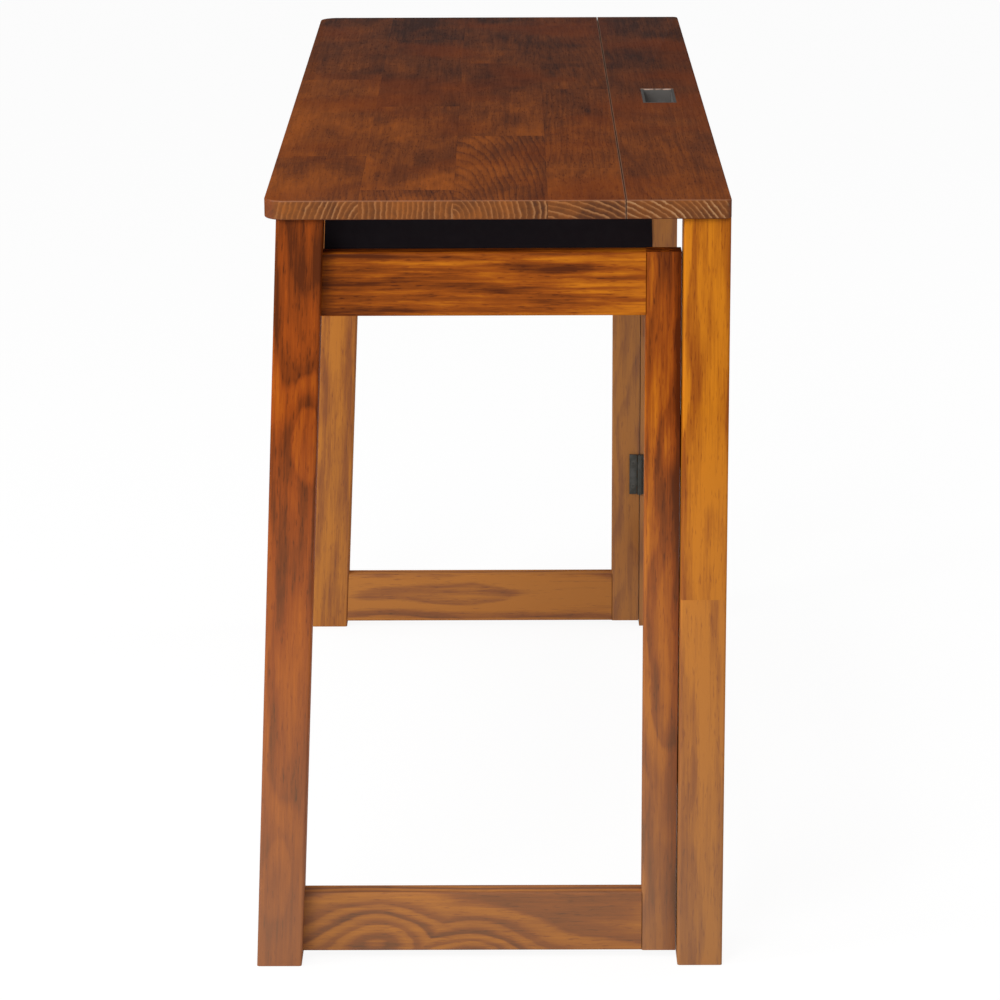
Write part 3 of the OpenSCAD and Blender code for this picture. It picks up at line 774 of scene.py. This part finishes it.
class DESK_OT_port(bpy.types.Operator):
    """Dark sleeve with a thin flange in the cable opening"""

    bl_idname = "desk.port"
    bl_label = "Cable port"

    wall: bpy.props.FloatProperty(
        name="Wall", description="Thickness of the sleeve's wall", default=1.2 * MM, unit="LENGTH")
    flange: bpy.props.FloatProperty(
        name="Flange", description="How far the flange reaches past the sleeve", default=1.5 * MM,
        unit="LENGTH")
    flange_thick: bpy.props.FloatProperty(
        name="Flange thickness", description="Thickness of the flange", default=1.0 * MM, unit="LENGTH")

    def execute(self, context):
        low, high = (Vector(corner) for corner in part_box("port_liner"))
        size, centre = high - low, (low + high) / 2
        clear_selection()
        bpy.ops.mesh.primitive_plane_add(size=1.0, location=(centre.x, centre.y, high.z))
        liner = bpy.context.object
        # the operator for a plane takes no scale
        liner.scale = (size.x, size.y, 1.0)
        settle(liner, "cable_port_liner")
        open_edit(liner)
        bpy.ops.mesh.select_all(action="SELECT")
        bpy.ops.mesh.inset(thickness=self.flange, depth=0.0)
        bpy.ops.mesh.inset(thickness=self.wall, depth=0.0)
        bpy.ops.mesh.delete(type="FACE")
        bpy.ops.mesh.select_all(action="SELECT")
        bpy.ops.mesh.extrude_region_move(TRANSFORM_OT_translate={"value": (0, 0, -self.flange_thick)})
        self.select_wall(liner, low, high)
        bpy.ops.mesh.extrude_region_move(
            TRANSFORM_OT_translate={"value": (0, 0, -(size.z - self.flange_thick))})
        bpy.ops.mesh.select_all(action="SELECT")
        bpy.ops.mesh.normals_make_consistent(inside=False)
        close_edit()
        finish_piece(liner, "frame", ["port_liner"], small_finish("liner_metal"))
        return {"FINISHED"}

    def select_wall(self, liner, low, high):
        """Select the faces under the flange from which the sleeve goes down."""
        mesh = bmesh.from_edit_mesh(liner.data)
        bpy.ops.mesh.select_all(action="DESELECT")
        bpy.ops.mesh.select_mode(type="FACE")
        level = high.z - self.flange_thick
        margin = self.flange / 2
        for face in mesh.faces:
            at_level = abs(face.calc_center_median().z - level) < HAIR
            if at_level and all(low.x + margin < vert.co.x < high.x - margin and
                                low.y + margin < vert.co.y < high.y - margin for vert in face.verts):
                face.select = True
        bmesh.update_edit_mesh(liner.data)


class DESK_OT_posts(bpy.types.Operator):
    """Square rear posts"""

    bl_idname = "desk.posts"
    bl_label = "Posts"

    def execute(self, context):
        looks = {"right": dict(tone=(0.0, -0.08), sheen_by_height=(0.45, 0.0)),
                 "left": dict(tone=(0.10, 0.22), sheen_by_height=(0.45, 0.40), coat=0.20)}
        for side, sign in SIDES.items():
            node = side + "_post"
            low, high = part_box(node)
            inner = min(abs(low[0]), abs(high[0]))
            post = add_bar(node + "_bar", low, high, 2,
                           lambda point: point.y < low[1] + MM and abs(point.x) < inner + MM)
            material = pine_material(node + "_pine", "Z", middle(node), pith=(-0.004 * sign, 0.002),
                                     slope=(-0.045 * sign, 0.004), ring=0.011, seed=3.0 + sign, contrast=0.54,
                                     streaks=0.38, cloud=0.28, wander=0.022, joint=0.3675, **looks[side])
            finish_piece(post, "frame", [node], material)
        return {"FINISHED"}


class DESK_OT_rear_rails(bpy.types.Operator):
    """Rails between the posts"""

    bl_idname = "desk.rear_rails"
    bl_label = "Rear rails"

    def execute(self, context):
        for number, node in enumerate(("rear_top_rail", "rear_bottom_rail")):
            low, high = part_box(node)
            rail = add_bar(node + "_bar", low, high, 0)
            material = pine_material(node + "_pine", "X", middle(node), pith=(0.05, 0.06 - 0.09 * number),
                                     slope=(0.05, 0.03), seed=8.0 + number, tone=(0.36, 0.60),
                                     sheen_by_height=(0.3, 0.1))
            finish_piece(rail, "frame", [node], material)
        return {"FINISHED"}


class DESK_OT_wings(bpy.types.Operator):
    """Slanted leg, upright, two rails and infill panel of both wing frames"""

    bl_idname = "desk.wings"
    bl_label = "Wing frames"

    def execute(self, context):
        for side, sign in SIDES.items():
            self.leg(side)
            self.upright(side, sign)
            for level in ("top", "bottom"):
                self.rail(side, level)
            # painted shade: the infill panels are black for the deep shade under the table top
            dress(side + "_panel", small_finish("black_board"))
        return {"FINISHED"}

    def lean(self, side):
        """Width of the leg and how far its top stands behind its foot."""
        low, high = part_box(side + "_leg")
        width = high[0] - low[0]
        return width, (high[1] - low[1]) - width

    def leg(self, side):
        node = side + "_leg"
        low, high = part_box(node)
        width, back = self.lean(side)
        leg = add_block(node + "_bar", low, (high[0], low[1] + width, high[2]))
        mesh = open_edit(leg)
        for vert in mesh.verts:
            vert.select = vert.co.z > high[2] - HAIR
        mesh.select_flush_mode()
        bpy.ops.mesh.select_mode(type="VERT")
        bmesh.update_edit_mesh(leg.data)
        bpy.ops.transform.translate(value=(0.0, back, 0.0))
        close_edit()
        # only the four long edges rise by more than the leg's width
        bevel_edges(leg, lambda a, b: abs(a.z - b.z) > width, sizes().bar_round, 4)
        looks = {
            "right": dict(pith=(-0.020, 0.004), slope=(0.05, 0.012), seed=19.0, contrast=0.58, wander=0.03,
                          tone=(0.19, 0.61), knot=(0.022, 0.012, 0.165), other_knot=(0.022, -0.002, -0.268),
                          knot_size=0.0078, squeeze=0.30, streaks=0.48, red=1.0, sheen_by_height=(0.52, 0.0)),
            "left": dict(pith=(0.05, 0.004), slope=(0.03, 0.01), seed=11.0, contrast=0.35, wander=0.035,
                         streaks=0.55, tone=(0.12, 0.10), sheen_by_height=(0.30, 0.16), coat=0.22),
        }
        material = pine_material(node + "_pine", "Z", middle(node), ring=0.011,
                                 lean=math.atan2(back, high[2] - low[2]), **looks[side])
        finish_piece(leg, side + "_wing", [node], material)

    def upright(self, side, sign):
        node = side + "_upright"
        low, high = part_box(node)
        bar = add_bar(node + "_bar", low, high, 2, lambda point: point.y > high[1] - MM)
        looks = {"right": dict(tone=(0.07, 0.50), red=0.4, sheen_by_height=(0.60, 0.0), contrast=0.48, streaks=0.65,
                               painted_rear_shade=0.50),
                 "left": dict(tone=(0.0, 0.0), sheen_by_height=(0.46, 0.40), contrast=0.34, streaks=0.50, coat=0.22)}
        material = pine_material(node + "_pine", "Z", middle(node), pith=(-0.06 * sign, 0.02),
                                 slope=(0.015, 0.03), ring=0.009, seed=27.0 + sign, wander=0.05,
                                 **looks[side])
        finish_piece(bar, side + "_wing", [node], material)

    def rail(self, side, level):
        node = side + "_" + level + "_rail"
        low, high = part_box(node)
        width, back = self.lean(side)
        leg_low, leg_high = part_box(side + "_leg")
        slope = back / (leg_high[2] - leg_low[2])
        rail = add_bar(node + "_bar", low, high, 1)
        # the front end follows the back of the slanted leg
        mesh = open_edit(rail)
        for vert in mesh.verts:
            if vert.co.y < (low[1] + high[1]) / 2:
                vert.co.y = leg_low[1] + width + slope * (vert.co.z - leg_low[2])
        bmesh.update_edit_mesh(rail.data)
        close_edit()
        looks = {
            "right_top": dict(pith=(-0.05, 0.045), slope=(0.02, 0.03), ring=0.013, seed=32.0, contrast=0.34,
                              streaks=0.90, cloud=0.52, wander=0.04, tone=(0.38, 0.38), red=0.3,
                              painted_shade_drift=(0.16, -0.09)),
            "left_top": dict(pith=(0.05, 0.045), slope=(0.02, 0.03), ring=0.013, seed=30.0, contrast=0.45,
                             streaks=0.75, cloud=0.50, wander=0.04, tone=(0.32, 0.32)),
            "right_bottom": dict(pith=(-0.045, -0.012), slope=(0.03, 0.04), ring=0.0105, seed=38.0,
                                 contrast=0.80, streaks=0.30, cloud=0.20, wander=0.035, tone=(0.13, 0.13),
                                 knot=(0.011, 0.0135, -0.090), other_knot=(0.011, 0.037, -0.004),
                                 knot_size=0.0145, sheen_by_height=(0.40, 0.0), coat=0.20),
            "left_bottom": dict(pith=(-0.030, -0.002), slope=(0.012, 0.01), ring=0.0105, seed=35.0,
                                contrast=0.95, streaks=0.45, cloud=0.20, wander=0.03, tone=(-0.18, -0.18),
                                sheen_by_height=(0.34, 0.0), coat=0.24),
        }
        material = pine_material(node + "_pine", "Y", middle(node), **looks[side + "_" + level])
        finish_piece(rail, side + "_wing", [node], material)


class DESK_OT_hardware(bpy.types.Operator):
    """Finishes of hinges, pins, screws and dowels"""

    bl_idname = "desk.hardware"
    bl_label = "Hinges and screws"

    def execute(self, context):
        finishes = {"_hinge": "hinge_paint", "_pin": "pin_steel", "_screws": "screw_paint",
                    "_dowels": "beech"}
        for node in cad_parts:
            for ending, finish in finishes.items():
                if node.endswith(ending):
                    dress(node, small_finish(finish))
        return {"FINISHED"}


# Stage

def look_matrix(stage):
    """Turn of the camera: looks along -X, down by the pitch."""
    down, turn, tilt = stage.pitch, stage.yaw, stage.roll
    ahead = Vector((-math.cos(down) * math.cos(turn), -math.cos(down) * math.sin(turn), -math.sin(down)))
    right = ahead.cross(Vector((0, 0, 1))).normalized()
    up = right.cross(ahead)
    level_right = math.cos(tilt) * right + math.sin(tilt) * up
    level_up = -math.sin(tilt) * right + math.cos(tilt) * up
    return Matrix((level_right, level_up, -ahead)).transposed().to_4x4()


def seen_directly(w):
    """One for what the camera sees, also by reflection or through glass."""
    path = w.node("LightPath").outputs
    seen = w.math("MAXIMUM", path["Is Camera Ray"], path["Is Glossy Ray"])
    return w.math("MAXIMUM", seen, path["Is Transmission Ray"])


class DESK_OT_stage(bpy.types.Operator):
    """Camera, floor, world and lamps"""

    bl_idname = "desk.stage"
    bl_label = "Stage"

    def execute(self, context):
        stage = context.scene.desk_stage
        self.camera(stage)
        self.floor()
        self.world(stage)
        self.lamps(stage)
        context.scene.view_settings.view_transform = "Standard"
        return {"FINISHED"}

    def camera(self, stage):
        clear_selection()
        bpy.ops.object.camera_add(location=stage.eye)
        camera = bpy.context.object
        camera.name = "camera"
        camera.matrix_world = Matrix.Translation(stage.eye) @ look_matrix(stage)
        camera.data.sensor_width = 36.0
        camera.data.lens = stage.lens
        camera.data.clip_end = 100.0
        bpy.context.scene.camera = camera

    def floor(self):
        clear_selection()
        bpy.ops.mesh.primitive_plane_add(size=60.0, location=(0.0, 0.0, -0.5 * MM))
        floor = settle(bpy.context.object, "studio_floor")
        material = bpy.data.materials.new("pale_floor")
        material.use_nodes = True
        material.node_tree.nodes.clear()
        w = Wiring(material.node_tree)
        diffuse = w.node("BsdfDiffuse", FLOOR_GREY).outputs[0]
        glow = w.node("Emission", WHITE, 1.055).outputs[0]
        clear = w.node("BsdfTransparent").outputs[0]
        # what remains of the shadow under the desk is the diffuse share
        lit = w.mix_shader(w.multiply(seen_directly(w), 0.87), diffuse, glow)
        # from below the floor doesn't hide the underside
        behind = w.node("NewGeometry").outputs["Backfacing"]
        w.node("OutputMaterial", w.mix_shader(behind, lit, clear))
        floor.data.materials.append(material)

    def world(self, stage):
        world = bpy.context.scene.world or bpy.data.worlds.new("studio")
        bpy.context.scene.world = world
        world.use_nodes = True
        world.node_tree.nodes.clear()
        w = Wiring(world.node_tree)
        light = w.node("Background", WHITE, stage.sky).outputs[0]
        white = w.node("Background", WHITE).outputs[0]
        w.node("OutputWorld", w.mix_shader(seen_directly(w), light, white))

    def lamps(self, stage):
        """Disk lamps that aim at the desk, each with its place, width and share of the key light's power."""
        aim = Vector((0.2, 0.0, 0.45))
        for name, place, width, share in (("key", (2.9, -1.2, 2.4), 1.6, 1.0),
                                          ("side", (1.4, -2.6, 1.6), 0.9, 0.60),
                                          ("top", (0.9, -0.3, 3.0), 2.0, 0.22),
                                          ("rear", (-1.2, 2.8, 1.8), 1.8, 0.35)):
            clear_selection()
            bpy.ops.object.light_add(type="AREA", location=place)
            lamp = bpy.context.object
            lamp.name = name + "_lamp"
            lamp.data.shape = "DISK"
            lamp.data.size = width
            lamp.data.energy = share * stage.key_power
            lamp.rotation_euler = (aim - Vector(place)).to_track_quat("-Z", "Y").to_euler()


class DESK_PT_panel(bpy.types.Panel):
    """Buttons and sizes of the desk"""

    bl_idname = "DESK_PT_panel"
    bl_label = "Folding desk"
    bl_space_type = "VIEW_3D"
    bl_region_type = "UI"
    bl_category = "Desk"

    def draw(self, context):
        for operator in OPERATORS:
            self.layout.operator(operator.bl_idname)
        for settings in (context.scene.desk_sizes, context.scene.desk_finish, context.scene.desk_stage):
            column = self.layout.column()
            for name in settings.bl_rna.properties.keys():
                if name not in ("rna_type", "name"):
                    column.prop(settings, name)


OPERATORS = (DESK_OT_stage, DESK_OT_leaf, DESK_OT_strip, DESK_OT_port, DESK_OT_posts, DESK_OT_rear_rails,
             DESK_OT_wings, DESK_OT_hardware)
CLASSES = (DeskSizes, DeskFinish, DeskStage) + OPERATORS + (DESK_PT_panel,)


def register():
    for cls in CLASSES:
        bpy.utils.register_class(cls)
    bpy.types.Scene.desk_sizes = bpy.props.PointerProperty(type=DeskSizes)
    bpy.types.Scene.desk_finish = bpy.props.PointerProperty(type=DeskFinish)
    bpy.types.Scene.desk_stage = bpy.props.PointerProperty(type=DeskStage)


def unregister():
    del bpy.types.Scene.desk_stage
    del bpy.types.Scene.desk_finish
    del bpy.types.Scene.desk_sizes
    for cls in reversed(CLASSES):
        bpy.utils.unregister_class(cls)


def main():
    register()
    bpy.ops.desk.stage()
    bpy.ops.desk.leaf()
    bpy.ops.desk.strip()
    bpy.ops.desk.port()
    bpy.ops.desk.posts()
    bpy.ops.desk.rear_rails()
    bpy.ops.desk.wings()
    bpy.ops.desk.hardware()


if __name__ == "__main__":
    main()
